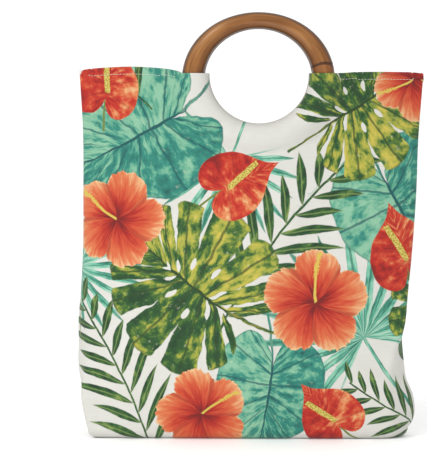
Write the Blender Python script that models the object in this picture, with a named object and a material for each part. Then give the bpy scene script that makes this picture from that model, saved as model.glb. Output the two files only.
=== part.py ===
# A soft cotton tote with two oval cane rings for handles.
# Metres, +Z up. The front looks along -Y, and the origin is under the middle of the bag.
# Each ring's lower half lies in a casing, between a panel and the facing sewn behind it.
import math

import bmesh
import bpy
from mathutils import Vector

# Bag
HEM_HEIGHT = 0.4195
HALF_WIDTH = 0.197
HALF_DEPTH = 0.038
CLOTH = 0.0013
BASE_THICKNESS = 0.0022
BASE_FILLET = 0.011
CREASE_RADIUS = 0.016
PIECE_GAP = 0.0003
SIDE_BOW_OUT = 1.6
SIDE_BOW_IN = 3.0

# Ring handles, each one an oval of round cane that is thicker at its sides
RING_CENTRE_X = 0.0063
RING_BELOW_HEM = 0.0065
RING_HALF_WIDTH = 0.0747
RING_HALF_HEIGHT = 0.0669
RING_TUBE_AT_SIDE = 0.0126
RING_TUBE_AT_TOP = 0.0093
RING_OFF_MIDDLE = 0.021
RING_LEAN = math.radians(4.5)

# Hand hole, whose cloth edge stands inside the cane by the lips, and the casing round the cane
LIP_AT_SIDE = 0.0046
LIP_AT_TOP = 0.0012
HOLE_ABOVE_RING_CENTRE = 0.005
HOLE_OFF_RING_CENTRE = 0.0008
CASING_CLEARANCE = 0.0006
CASING_TAIL = 1.9
FACING_BAND = 0.010

# Hem that lifts a little between a ring and the side seam
LEFT_HEM_LIFT = 0.0062
RIGHT_HEM_LIFT = 0.0026
HEM_LIFT_DEPTH = 0.13

# Cross-sections from the base up: heights as shares of HEM_HEIGHT, seams and creases as
# shares of HALF_WIDTH, depths as shares of HALF_DEPTH, softness as a share of CREASE_RADIUS
SECTION_COLUMNS = ("height", "left_seam", "left_crease", "right_crease", "right_seam",
                   "depth", "crease_depth", "softness")
SECTIONS = (
    (0.000, 0.918, 0.958, 0.806, 0.860, 0.87, 0.82, 0.50),
    (0.048, 0.937, 0.976, 0.807, 0.940, 0.90, 0.83, 0.45),
    (0.110, 0.973, 0.999, 0.797, 0.940, 0.93, 0.82, 0.40),
    (0.160, 1.008, 0.986, 0.792, 0.898, 0.95, 0.79, 0.40),
    (0.205, 1.021, 0.963, 0.809, 0.884, 0.97, 0.76, 0.42),
    (0.255, 1.018, 0.950, 0.842, 0.873, 0.99, 0.70, 0.45),
    (0.320, 1.019, 0.949, 0.898, 0.866, 1.00, 0.62, 0.55),
    (0.395, 1.005, 0.951, 0.922, 0.880, 1.00, 0.54, 0.75),
    (0.530, 0.990, 0.955, 0.948, 0.916, 0.97, 0.41, 1.00),
    (0.665, 0.988, 0.957, 0.954, 0.946, 0.88, 0.29, 1.10),
    (0.835, 0.988, 0.962, 0.950, 0.962, 0.74, 0.15, 0.90),
    (1.000, 1.009, 0.970, 0.954, 0.989, 0.58, 0.04, 0.50),
)

# Soft dents and swells of each face: places and reaches as shares of HALF_WIDTH and
# HEM_HEIGHT, lean in degrees, swell as a share of HALF_DEPTH, below zero for a dent
DENT_COLUMNS = ("x", "height", "reach_x", "reach_height", "lean", "swell")
FRONT_DENTS = (
    (-0.62, 0.66, 0.10, 0.30, 12.0, -0.070),
    (-0.30, 0.42, 0.16, 0.26, -8.0, 0.060),
    (0.34, 0.50, 0.11, 0.34, -16.0, -0.080),
    (0.62, 0.40, 0.13, 0.24, -20.0, 0.070),
    (0.05, 0.14, 0.45, 0.10, 0.0, 0.050),
)
BACK_DENTS = (
    (0.45, 0.62, 0.12, 0.30, -10.0, -0.070),
    (-0.35, 0.48, 0.12, 0.30, 14.0, -0.070),
    (0.05, 0.30, 0.30, 0.20, 0.0, 0.060),
)

# How finely the cloth is divided
LEG_STEPS = (0.0, 0.12, 0.245, 0.37, 0.48, 0.595, 0.68, 0.755, 0.81, 0.87, 0.92, 0.965, 1.0)
BASE_CELLS = 14
SIDE_CELLS = 3
FILLET_CELLS = 3
BODY_ROWS = 7
CASING_INNER_ANGLES = (90.0, 60.0, 30.0, 0.0)
CASING_OUTER_STEPS = (0.45, 0.90, 1.30, 1.65, 2.00)
WIDE_CREASE_INSET = 0.012
NARROW_CREASE_INSET = 0.005
RING_POINTS = 40
RING_SIDES = 3

CREASE_INSETS = (WIDE_CREASE_INSET, NARROW_CREASE_INSET, 0.0)
LEG_CELLS = len(LEG_STEPS) - 1
ARCH_CELLS = 2 * LEG_CELLS + BASE_CELLS
CASING_ROWS = len(CASING_INNER_ANGLES) + len(CASING_OUTER_STEPS) - 1
INNER_FILLET = BASE_FILLET - CLOTH
FILLET_TOP = CLOTH + INNER_FILLET
HOLE_HALF_WIDTH = RING_HALF_WIDTH - RING_TUBE_AT_SIDE - LIP_AT_SIDE + CLOTH
HOLE_HALF_HEIGHT = RING_HALF_HEIGHT - RING_TUBE_AT_TOP - LIP_AT_TOP + CLOTH
RING_CENTRE_HEIGHT = HEM_HEIGHT - RING_BELOW_HEM
HOLE_CENTRE_X = RING_CENTRE_X + HOLE_OFF_RING_CENTRE
HOLE_CENTRE_HEIGHT = RING_CENTRE_HEIGHT + HOLE_ABOVE_RING_CENTRE


def clear_scene():
    for old in list(bpy.data.objects):
        bpy.data.objects.remove(old, do_unlink=True)


def mix(low, high, share):
    return low + (high - low) * share


def ease(share):
    share = min(max(share, 0.0), 1.0)
    return share * share * (3.0 - 2.0 * share)


def section_value(name, height):
    """One column of SECTIONS at a height, on a smooth curve through its rows."""
    column = SECTION_COLUMNS.index(name)
    rows = SECTIONS
    share = min(max(height / HEM_HEIGHT, 0.0), 1.0)
    above = next((i for i, row in enumerate(rows) if row[0] >= share), len(rows) - 1)
    above = max(above, 1)
    low, high = rows[above - 1], rows[above]
    before = rows[max(above - 2, 0)]
    after = rows[min(above + 1, len(rows) - 1)]
    span = high[0] - low[0]
    slope_low = (high[column] - before[column]) / (high[0] - before[0])
    slope_high = (after[column] - low[column]) / (after[0] - low[0])
    t = (share - low[0]) / span
    return ((2 * t ** 3 - 3 * t ** 2 + 1) * low[column] + (t ** 3 - 2 * t ** 2 + t) * span * slope_low
            + (3 * t ** 2 - 2 * t ** 3) * high[column] + (t ** 3 - t ** 2) * span * slope_high)


class Section:
    """The inner face of one panel at one height; depths count forward from the middle."""

    def __init__(self, height, inset=0.0):
        width_scale = (HALF_WIDTH - inset) / HALF_WIDTH
        self.depth = section_value("depth", height) * HALF_DEPTH - inset
        crease_depth = section_value("crease_depth", height) * HALF_DEPTH
        crease_depth = max(crease_depth - inset, PIECE_GAP)
        side_widths = [section_value(name, height) * HALF_WIDTH * width_scale for name in
                       ("left_seam", "left_crease", "right_crease", "right_seam")]
        self.seams = (Vector((-side_widths[0], PIECE_GAP / 2)), Vector((side_widths[3], PIECE_GAP / 2)))
        self.creases = (Vector((-side_widths[1], crease_depth)), Vector((side_widths[2], crease_depth)))
        self.round = section_value("softness", height) * CREASE_RADIUS

    def front(self, across):
        """A point of the face, from -1 at the left crease to 1 at the right one."""
        left, right = self.creases
        x = mix(left.x, right.x, (across + 1) / 2)
        return Vector((x, left.y + (self.depth - left.y) * (1 - across * across)))

    def side(self, end, along):
        """A point of a side, from 0 at its crease to 1 at its seam, which it meets square."""
        crease, seam = self.creases[end], self.seams[end]
        bow = SIDE_BOW_OUT if abs(seam.x) > abs(crease.x) else SIDE_BOW_IN
        return Vector((mix(crease.x, seam.x, 1 - (1 - along) ** bow), mix(crease.y, seam.y, along)))

    def point(self, across, along=0.0):
        """The face or, where along is over 0, the side, with the crease rounded off."""
        end = 0 if across < 0 else 1
        half_face = (self.creases[1].x - self.creases[0].x) / 2
        side_length = (self.seams[end] - self.creases[end]).length
        face_reach = min(self.round, half_face / 2)
        side_reach = max(min(self.round, side_length / 2), 1e-6)
        from_crease = (1 - abs(across)) * half_face
        on_side = along * side_length
        if along <= 0.0 and from_crease >= face_reach:
            return self.front(across)
        if along > 0.0 and on_side >= side_reach:
            return self.side(end, along)
        sign = -1 if end == 0 else 1
        start = self.front(sign * (1 - face_reach / half_face))
        finish = self.side(end, side_reach / side_length)
        if along > 0.0:
            u = 0.5 + 0.5 * on_side / side_reach
        else:
            u = 0.5 - 0.5 * from_crease / face_reach
        return start * (1 - u) ** 2 + self.creases[end] * 2 * u * (1 - u) + finish * u ** 2

    def across_at(self, x):
        left, right = self.creases
        return 2 * (x - left.x) / (right.x - left.x) - 1


def tube_radius(turn):
    """The cane's radius at an angle round the ring, 0 at its left."""
    return RING_TUBE_AT_TOP + (RING_TUBE_AT_SIDE - RING_TUBE_AT_TOP) * math.cos(turn) ** 2


def ring_point(turn):
    """The cane's middle, in the plane of a face, at an angle that grows downwards from its left."""
    return Vector((RING_CENTRE_X - RING_HALF_WIDTH * math.cos(turn),
                   RING_CENTRE_HEIGHT - RING_HALF_HEIGHT * math.sin(turn)))


def ring_outward(turn):
    return Vector((-RING_HALF_HEIGHT * math.cos(turn), -RING_HALF_WIDTH * math.sin(turn))).normalized()


def hole_point(turn):
    return Vector((HOLE_CENTRE_X - HOLE_HALF_WIDTH * math.cos(turn),
                   HOLE_CENTRE_HEIGHT - HOLE_HALF_HEIGHT * math.sin(turn)))


def ring_depth(height):
    """How far in front of the bag's middle the ring's plane stands at a height."""
    return RING_OFF_MIDDLE + (RING_CENTRE_HEIGHT - height) * math.tan(RING_LEAN)


def hem_lift(x, height):
    """How much the hem is drawn up between a ring and a side seam."""
    ring_left = RING_CENTRE_X - RING_HALF_WIDTH - RING_TUBE_AT_SIDE
    ring_right = RING_CENTRE_X + RING_HALF_WIDTH + RING_TUBE_AT_SIDE
    if x < ring_left:
        share = (ring_left - x) / (ring_left + HALF_WIDTH)
        lift = LEFT_HEM_LIFT
    elif x > ring_right:
        share = (x - ring_right) / (HALF_WIDTH - ring_right)
        lift = RIGHT_HEM_LIFT
    else:
        return 0.0
    fade = ease((height - HEM_HEIGHT + HEM_LIFT_DEPTH) / HEM_LIFT_DEPTH)
    return lift * math.sin(math.pi * min(share, 1.0)) ** 1.3 * fade


def swell(x, height, dents):
    """Sum of the soft dents and swells of a face at a place on it."""
    total = 0.0
    for row in dents:
        dent = dict(zip(DENT_COLUMNS, row))
        dx = x - dent["x"] * HALF_WIDTH
        dz = height - dent["height"] * HEM_HEIGHT
        lean = math.radians(dent["lean"])
        along = (dx * math.cos(lean) + dz * math.sin(lean)) / (dent["reach_x"] * HALF_WIDTH)
        up = (dz * math.cos(lean) - dx * math.sin(lean)) / (dent["reach_height"] * HEM_HEIGHT)
        total += dent["swell"] * HALF_DEPTH * math.exp(-along * along - up * up)
    return total


def face_point(x, height, dents):
    """A point of the face away from the ring, by its place seen from the front."""
    section = Section(height)
    across = section.across_at(x)
    flat = section.point(across)
    near_edge = ease((1 - abs(across)) / 0.12) * ease((height - FILLET_TOP) / (HEM_HEIGHT * 0.06))
    below_hem = ease((HEM_HEIGHT - height) / (HEM_HEIGHT * 0.2))
    depth = flat.y + swell(x, height, dents) * near_edge * below_hem
    return Vector((flat.x, -depth, height))


def casing_turn(column):
    """The angle round the ring of a column of the casing, from hem to hem."""
    over = math.asin((HEM_HEIGHT - RING_CENTRE_HEIGHT) / RING_HALF_HEIGHT)
    return mix(-over, math.pi + over, column / ARCH_CELLS)


def casing_place(column, row):
    """Where a point of the casing lies seen from the front, and how far the cane lifts it."""
    turn = casing_turn(column)
    middle = ring_point(turn)
    reach = tube_radius(turn) + CASING_CLEARANCE
    inner_rows = len(CASING_INNER_ANGLES)
    if row < inner_rows:
        angle = math.radians(CASING_INNER_ANGLES[row])
        place = middle.lerp(hole_point(turn), math.sin(angle))
        lift, tail = math.cos(angle), None
    else:
        step = CASING_OUTER_STEPS[row - inner_rows]
        place = middle + ring_outward(turn) * step * reach
        lift, tail = None, max(1 - (step / CASING_TAIL) ** 2, 0.0) ** 1.5
    if column in (0, ARCH_CELLS):
        place.y = HEM_HEIGHT
    return place, reach, lift, tail


def casing_point(column, row, dents, toward):
    """A point of the cloth over the cane; toward is 1 for the panel and -1 for the facing."""
    place, reach, lift, tail = casing_place(column, row)
    plane = ring_depth(place.y)
    if tail is None:
        depth = plane + toward * (reach * lift + PIECE_GAP / 2)
    else:
        flat = -face_point(place.x, place.y, dents).y
        if toward < 0:
            flat -= PIECE_GAP
        depth = mix(flat, plane + toward * (reach + PIECE_GAP / 2), tail)
    return Vector((place.x, -depth, place.y))


def place_grid(mesh, columns, rows, place):
    """A flat grid whose corners are then put where place(column, row) says."""
    made = bmesh.ops.create_grid(mesh, x_segments=columns, y_segments=rows, size=0.5)
    for vert in made["verts"]:
        vert.co = place(round((vert.co.x + 0.5) * columns), round((vert.co.y + 0.5) * rows))


def arch_place(column, inset):
    """A point of the face's border: down the left crease, along the base, up the right crease."""
    inset_across = 1 - inset / HALF_WIDTH
    low = FILLET_TOP + inset
    if column <= LEG_CELLS:
        return -inset_across, mix(HEM_HEIGHT, low, LEG_STEPS[column])
    if column >= ARCH_CELLS - LEG_CELLS:
        return inset_across, mix(HEM_HEIGHT, low, LEG_STEPS[ARCH_CELLS - column])
    return mix(-inset_across, inset_across, (column - LEG_CELLS) / BASE_CELLS), low


def border_point(column, inset, dents):
    across, height = arch_place(column, inset)
    x = Section(height).front(across).x
    return face_point(x, height, dents)


def panel_mesh(dents):
    """The inner face of the front: casing, face, both half sides and the turn into the base."""
    mesh = bmesh.new()
    body_end = CASING_ROWS + BODY_ROWS

    def face(column, row):
        if row <= CASING_ROWS:
            return casing_point(column, row, dents, 1)
        if row >= body_end:
            return border_point(column, CREASE_INSETS[row - body_end], dents)
        start = casing_place(column, CASING_ROWS)[0]
        stop = border_point(column, CREASE_INSETS[0], dents)
        share = (row - CASING_ROWS) / BODY_ROWS
        x = mix(start.x, stop.x, share)
        height = mix(start.y, stop.z, share)
        return face_point(x, height, dents)

    place_grid(mesh, ARCH_CELLS, body_end + len(CREASE_INSETS) - 1, face)

    for end in (0, 1):
        def side(column, row, end=end):
            height = mix(HEM_HEIGHT, FILLET_TOP, LEG_STEPS[LEG_CELLS - row])
            flat = Section(height).point(-1 if end == 0 else 1, column / SIDE_CELLS)
            return Vector((flat.x, -flat.y, height))
        place_grid(mesh, SIDE_CELLS, LEG_CELLS, side)

    def turn_in(column, row):
        angle = math.radians(90.0) * (1 - row / FILLET_CELLS)
        section = Section(FILLET_TOP, INNER_FILLET * (1 - math.cos(angle)))
        height = CLOTH + INNER_FILLET * (1 - math.sin(angle))
        if column < SIDE_CELLS:
            flat = section.point(-1, 1 - column / SIDE_CELLS)
        elif column > SIDE_CELLS + BASE_CELLS:
            flat = section.point(1, (column - SIDE_CELLS - BASE_CELLS) / SIDE_CELLS)
        else:
            flat = section.point(mix(-1, 1, (column - SIDE_CELLS) / BASE_CELLS))
        return Vector((flat.x, -flat.y, height))

    place_grid(mesh, 2 * SIDE_CELLS + BASE_CELLS, FILLET_CELLS, turn_in)
    bmesh.ops.remove_doubles(mesh, verts=mesh.verts, dist=0.00002)
    return mesh


def facing_mesh(dents):
    """The side of the facing that the cane and the panel lie against."""
    mesh = bmesh.new()

    def place(column, row):
        if row <= CASING_ROWS:
            return casing_point(column, row, dents, -1)
        start = casing_place(column, CASING_ROWS)[0]
        out = ring_outward(casing_turn(column)) * FACING_BAND
        height = HEM_HEIGHT if column in (0, ARCH_CELLS) else start.y + out.y
        point = face_point(start.x + out.x, height, dents)
        point.y += PIECE_GAP
        return point

    place_grid(mesh, ARCH_CELLS, CASING_ROWS + 1, place)
    return mesh


def add_cloth(name, mesh, outward, back, colour):
    """Gives a surface its thickness on the side outward points to, on the front or the back."""
    for vert in mesh.verts:
        vert.co.z += hem_lift(vert.co.x, vert.co.z)
    bmesh.ops.recalc_face_normals(mesh, faces=mesh.faces)
    heading = sum((f.normal * f.calc_area() for f in mesh.faces), Vector())
    if heading.dot(outward) < 0:
        bmesh.ops.reverse_faces(mesh, faces=mesh.faces)
    if back:
        bmesh.ops.scale(mesh, vec=(1, -1, 1), verts=mesh.verts)
        bmesh.ops.reverse_faces(mesh, faces=mesh.faces)
    data = bpy.data.meshes.new(name)
    mesh.to_mesh(data)
    mesh.free()
    data.shade_smooth()
    piece = bpy.data.objects.new(name, data)
    bpy.context.collection.objects.link(piece)
    wall = piece.modifiers.new("cloth", "SOLIDIFY")
    wall.thickness = CLOTH
    wall.offset = 1.0
    wall.use_even_offset = True
    wall.use_quality_normals = True
    data.materials.append(colour)
    return piece


def add_base(name, colour):
    """The flat bottom, inside the turned-in lower edges of both panels."""
    mesh = bmesh.new()
    section = Section(FILLET_TOP, INNER_FILLET)
    half = [section.point(-1, 1 - i / SIDE_CELLS) for i in range(SIDE_CELLS)]
    half += [section.point(mix(-1, 1, i / BASE_CELLS)) for i in range(BASE_CELLS + 1)]
    half += [section.point(1, (i + 1) / SIDE_CELLS) for i in range(SIDE_CELLS)]
    shrink_x = 1 - PIECE_GAP / HALF_WIDTH * 2
    shrink_y = 1 - PIECE_GAP / section.depth * 2
    outline = [Vector((p.x * shrink_x, -p.y * shrink_y, 0.0)) for p in half]
    outline += [Vector((p.x, -p.y, 0.0)) for p in reversed(outline)]
    face = mesh.faces.new([mesh.verts.new(p) for p in outline])
    bmesh.ops.remove_doubles(mesh, verts=mesh.verts, dist=PIECE_GAP * 2)
    raised = bmesh.ops.extrude_face_region(mesh, geom=list(mesh.faces))
    lifted = [item for item in raised["geom"] if isinstance(item, bmesh.types.BMVert)]
    bmesh.ops.translate(mesh, verts=lifted, vec=(0, 0, BASE_THICKNESS))
    bmesh.ops.recalc_face_normals(mesh, faces=mesh.faces)
    data = bpy.data.meshes.new(name)
    mesh.to_mesh(data)
    mesh.free()
    piece = bpy.data.objects.new(name, data)
    bpy.context.collection.objects.link(piece)
    data.materials.append(colour)
    return piece


def add_ring(name, back, colour):
    """An oval ring of cane, leaning in over the mouth."""
    curve = bpy.data.curves.new(name, "CURVE")
    curve.dimensions = "3D"
    curve.bevel_depth = 1.0
    curve.bevel_resolution = RING_SIDES
    spline = curve.splines.new("POLY")
    spline.points.add(RING_POINTS - 1)
    spline.use_cyclic_u = True
    for i, point in enumerate(spline.points):
        turn = 2 * math.pi * i / RING_POINTS
        point.co = (-RING_HALF_WIDTH * math.cos(turn), 0.0, -RING_HALF_HEIGHT * math.sin(turn), 1.0)
        point.radius = tube_radius(turn)
    curve.materials.append(colour)
    piece = bpy.data.objects.new(name, curve)
    bpy.context.collection.objects.link(piece)
    side = 1 if back else -1
    piece.location = (RING_CENTRE_X, side * RING_OFF_MIDDLE, RING_CENTRE_HEIGHT)
    piece.rotation_euler = (side * RING_LEAN, 0.0, 0.0)
    return piece


def add_material(name, colour, roughness):
    material = bpy.data.materials.new(name)
    material.use_nodes = True
    shader = material.node_tree.nodes["Principled BSDF"]
    shader.inputs["Base Color"].default_value = (*colour, 1.0)
    shader.inputs["Roughness"].default_value = roughness
    shader.inputs["Metallic"].default_value = 0.0
    return material


def centre_over_origin(pieces):
    """Moves everything sideways so that the origin is under the middle of the whole bag."""
    bpy.context.view_layer.update()
    graph = bpy.context.evaluated_depsgraph_get()
    points = []
    for piece in pieces:
        shaped = piece.evaluated_get(graph)
        points += [shaped.matrix_world @ vert.co for vert in shaped.to_mesh().vertices]
        shaped.to_mesh_clear()
    shift_x = (min(p.x for p in points) + max(p.x for p in points)) / 2
    shift_y = (min(p.y for p in points) + max(p.y for p in points)) / 2
    for piece in pieces:
        piece.location.x -= shift_x
        piece.location.y -= shift_y


def build():
    clear_scene()
    printed = add_material("printed_canvas", (0.52, 0.58, 0.42), 0.9)
    plain = add_material("plain_canvas", (0.70, 0.70, 0.64), 0.9)
    cane = add_material("cane", (0.33, 0.16, 0.06), 0.42)
    forward = Vector((0, -1, 0))
    pieces = []
    for side, back, dents in (("front", False, FRONT_DENTS), ("back", True, BACK_DENTS)):
        pieces.append(add_cloth(f"{side}_panel", panel_mesh(dents), forward, back, printed))
        pieces.append(add_cloth(f"{side}_handle_facing", facing_mesh(dents), -forward, back, plain))
        pieces.append(add_ring(f"{side}_ring_handle", back, cane))
    pieces.append(add_base("base_panel", printed))
    centre_over_origin(pieces)


build()
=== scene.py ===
# A soft cotton tote with two oval cane rings for handles and a print of tropical leaves.
# Metres, +Z up. The front looks along -Y and the floor is at zero.
import functools
import math
import random

import bmesh
import bpy
import numpy as np
from mathutils import Matrix, Vector, noise


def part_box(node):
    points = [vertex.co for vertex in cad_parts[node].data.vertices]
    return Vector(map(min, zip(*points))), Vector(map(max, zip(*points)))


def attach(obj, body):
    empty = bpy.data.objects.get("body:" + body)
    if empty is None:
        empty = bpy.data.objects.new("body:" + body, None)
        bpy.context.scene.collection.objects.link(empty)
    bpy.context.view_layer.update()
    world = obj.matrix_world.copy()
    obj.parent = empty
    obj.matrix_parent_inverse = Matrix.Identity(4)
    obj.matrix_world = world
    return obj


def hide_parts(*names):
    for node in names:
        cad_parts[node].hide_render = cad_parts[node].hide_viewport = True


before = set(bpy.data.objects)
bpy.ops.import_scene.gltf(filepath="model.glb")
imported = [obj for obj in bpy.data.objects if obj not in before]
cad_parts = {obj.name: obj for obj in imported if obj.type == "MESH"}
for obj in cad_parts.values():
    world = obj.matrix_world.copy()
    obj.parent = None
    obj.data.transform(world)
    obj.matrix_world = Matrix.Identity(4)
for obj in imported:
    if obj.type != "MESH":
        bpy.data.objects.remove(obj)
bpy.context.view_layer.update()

print("frame loaded")

# The camera stands straight in front, just under the hem's height, and looks a little left of the bag
view = {"place": (0.010, -2.500, 0.400), "aim": (-0.042, 0.0, 0.237), "lens": 168.4, "sensor": 36.0}


def addObject(name, data, place=None, aim=None):
    # a new object at the origin, or a camera or a lamp in its place, looking at another
    thing = bpy.data.objects.new(name, data)
    bpy.context.collection.objects.link(thing)
    if place:
        thing.location = place
        thing.rotation_euler = (Vector(aim) - Vector(place)).to_track_quat("-Z", "Y").to_euler()
    return thing


def meshData(name, mesh):
    data = bpy.data.meshes.new(name)
    mesh.to_mesh(data)
    mesh.free()
    return data


def makeCamera():
    data = bpy.data.cameras.new("camera")
    data.lens = view["lens"]
    data.sensor_width = view["sensor"]
    bpy.context.scene.camera = addObject("camera", data, view["place"], view["aim"])


makeCamera()

# The bag as it is sewn
bag = {
    "hemHeight": 0.4195, "halfWidth": 0.197, "halfDepth": 0.038, "cloth": 0.0013,
    "baseThickness": 0.0022, "baseFillet": 0.011, "creaseRadius": 0.016, "gap": 0.0003,
    "bowOut": 1.6, "bowIn": 3.0,
    "seamRound": 0.0006, "seamAllowance": 0.009,
    "hemRound": 0.0003, "hemTurn": 0.013, "hemClear": 0.0015, "hemRoom": 0.0008,
    "edgeRound": 0.00035, "edgeAngle": math.radians(65.0), "merge": 0.00002,
}
ring = {
    "centreX": 0.0063, "belowHem": 0.0065, "halfWidth": 0.0747, "halfHeight": 0.0669,
    "tubeAtSide": 0.0126, "tubeAtTop": 0.0093, "offMiddle": 0.021, "lean": math.radians(4.5),
}
casing = {
    "lipAtSide": 0.0046, "lipAtTop": 0.0012, "aboveRing": 0.005, "offRing": 0.0008,
    "clearance": 0.0006, "tail": 1.9, "tailCurve": 1.5, "reach": 2.0, "band": 0.010,
    "widestTurn": math.radians(30.0), "halvings": 40,
}

# How far the hem is drawn up beside the rings, in millimetres, from a ring at 0 to the side seam at 1
hemLifts = {
    "depth": 0.13, "foldDepth": 0.03,
    "left": ((0.0, 0.0), (0.05, 3.0), (0.12, 4.6), (0.20, 5.8), (0.30, 6.7), (0.40, 7.4), (0.50, 7.8),
             (0.60, 7.6), (0.72, 7.0), (0.84, 6.1), (0.92, 5.2), (0.97, 4.3), (1.0, 3.4)),
    "right": ((0.0, 0.0), (0.08, 0.3), (0.15, 0.8), (0.22, 1.3), (0.35, 1.6), (0.50, 1.8), (0.65, 1.6),
              (0.82, 1.4), (0.90, 0.8), (0.96, 0.0), (1.0, -1.0)),
}

# Cross-sections from the base up: heights as shares of hemHeight, seams and creases of halfWidth,
# depths of halfDepth, softness of creaseRadius
sectionColumns = ("height", "leftSeam", "leftCrease", "rightCrease", "rightSeam",
                  "depth", "creaseDepth", "softness")
sections = (
    (0.000, 0.918, 0.958, 0.806, 0.860, 0.87, 0.82, 0.50),
    (0.048, 0.937, 0.976, 0.807, 0.940, 0.90, 0.83, 0.28),
    (0.110, 0.973, 0.999, 0.797, 0.940, 0.93, 0.82, 0.24),
    (0.160, 1.008, 0.986, 0.792, 0.898, 0.95, 0.79, 0.24),
    (0.205, 1.021, 0.963, 0.809, 0.884, 0.97, 0.76, 0.26),
    (0.255, 1.018, 0.950, 0.842, 0.873, 0.99, 0.70, 0.32),
    (0.320, 1.019, 0.949, 0.898, 0.866, 1.00, 0.62, 0.45),
    (0.395, 1.005, 0.951, 0.922, 0.880, 1.00, 0.54, 0.75),
    (0.530, 0.990, 0.955, 0.948, 0.916, 0.97, 0.41, 1.00),
    (0.665, 0.988, 0.957, 0.954, 0.946, 0.88, 0.29, 1.10),
    (0.835, 0.988, 0.962, 0.950, 0.962, 0.74, 0.15, 0.90),
    (1.000, 1.009, 0.970, 0.954, 0.989, 0.58, 0.04, 0.50),
)

# Soft dents and swells: places and reaches as shares of halfWidth and hemHeight, lean in degrees,
# swell as a share of halfDepth
dentColumns = ("x", "height", "reachX", "reachHeight", "lean", "swell")
dents = {
    "front": ((-0.62, 0.66, 0.10, 0.30, 12.0, -0.070), (-0.30, 0.42, 0.16, 0.26, -8.0, 0.060),
              (0.34, 0.50, 0.11, 0.34, -16.0, -0.080), (0.62, 0.40, 0.13, 0.24, -20.0, 0.070),
              (0.05, 0.14, 0.45, 0.10, 0.0, 0.050)),
    "back": ((0.45, 0.62, 0.12, 0.30, -10.0, -0.070), (-0.35, 0.48, 0.12, 0.30, 14.0, -0.070),
             (0.05, 0.30, 0.30, 0.20, 0.0, 0.060)),
}

# How finely the cloth is divided
cells = {"leg": 84, "base": 72, "side": 12, "fillet": 6, "body": 50, "border": 6,
         "inner": 7, "outer": 10, "borderInset": 0.012, "seam": 4, "allowance": 3,
         "hemBend": 4, "hem": 7, "band": 3, "bottomRows": 12}
archCells = 2 * cells["leg"] + cells["base"]
casingRows = cells["inner"] + cells["outer"]
seamCells = cells["seam"] + cells["allowance"]
bottomCells = 2 * cells["side"] + cells["base"]

quarterTurn = math.radians(90.0)
innerFillet = bag["baseFillet"] - bag["cloth"]
filletTop = bag["cloth"] + innerFillet
seamDepth = bag["cloth"] + bag["gap"] / 2 + bag["seamRound"]
ringHeight = bag["hemHeight"] - ring["belowHem"]
holeX = ring["centreX"] + casing["offRing"]
holeHeight = ringHeight + casing["aboveRing"]
holeHalfWidth = ring["halfWidth"] - ring["tubeAtSide"] - casing["lipAtSide"] + bag["cloth"]
holeHalfHeight = ring["halfHeight"] - ring["tubeAtTop"] - casing["lipAtTop"] + bag["cloth"]

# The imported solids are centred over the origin, so the bag is built round its own middle and moved by this
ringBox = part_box("front_ring_handle")
bagShift = Vector(((ringBox[0][0] + ringBox[1][0]) / 2 - ring["centreX"], 0.0, 0.0))


def mix(low, high, share):
    return low + (high - low) * share


def ease(share):
    share = min(max(share, 0.0), 1.0)
    return share * share * (3.0 - 2.0 * share)


@functools.lru_cache(maxsize=None)
def sectionAt(steps):
    # all columns of the sections at a height given in tenths of a millimetre, on a smooth curve
    share = min(max(steps * 0.0001 / bag["hemHeight"], 0.0), 1.0)
    above = next((i for i, row in enumerate(sections) if row[0] >= share), len(sections) - 1)
    above = max(above, 1)
    low, high = sections[above - 1], sections[above]
    before = sections[max(above - 2, 0)]
    after = sections[min(above + 1, len(sections) - 1)]
    span = high[0] - low[0]
    t = (share - low[0]) / span
    found = {}
    for place, name in enumerate(sectionColumns):
        slopeLow = (high[place] - before[place]) / (high[0] - before[0])
        slopeHigh = (after[place] - low[place]) / (after[0] - low[0])
        found[name] = ((2 * t ** 3 - 3 * t ** 2 + 1) * low[place]
                       + (t ** 3 - 2 * t ** 2 + t) * span * slopeLow
                       + (3 * t ** 2 - 2 * t ** 3) * high[place] + (t ** 3 - t ** 2) * span * slopeHigh)
    return found


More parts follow.
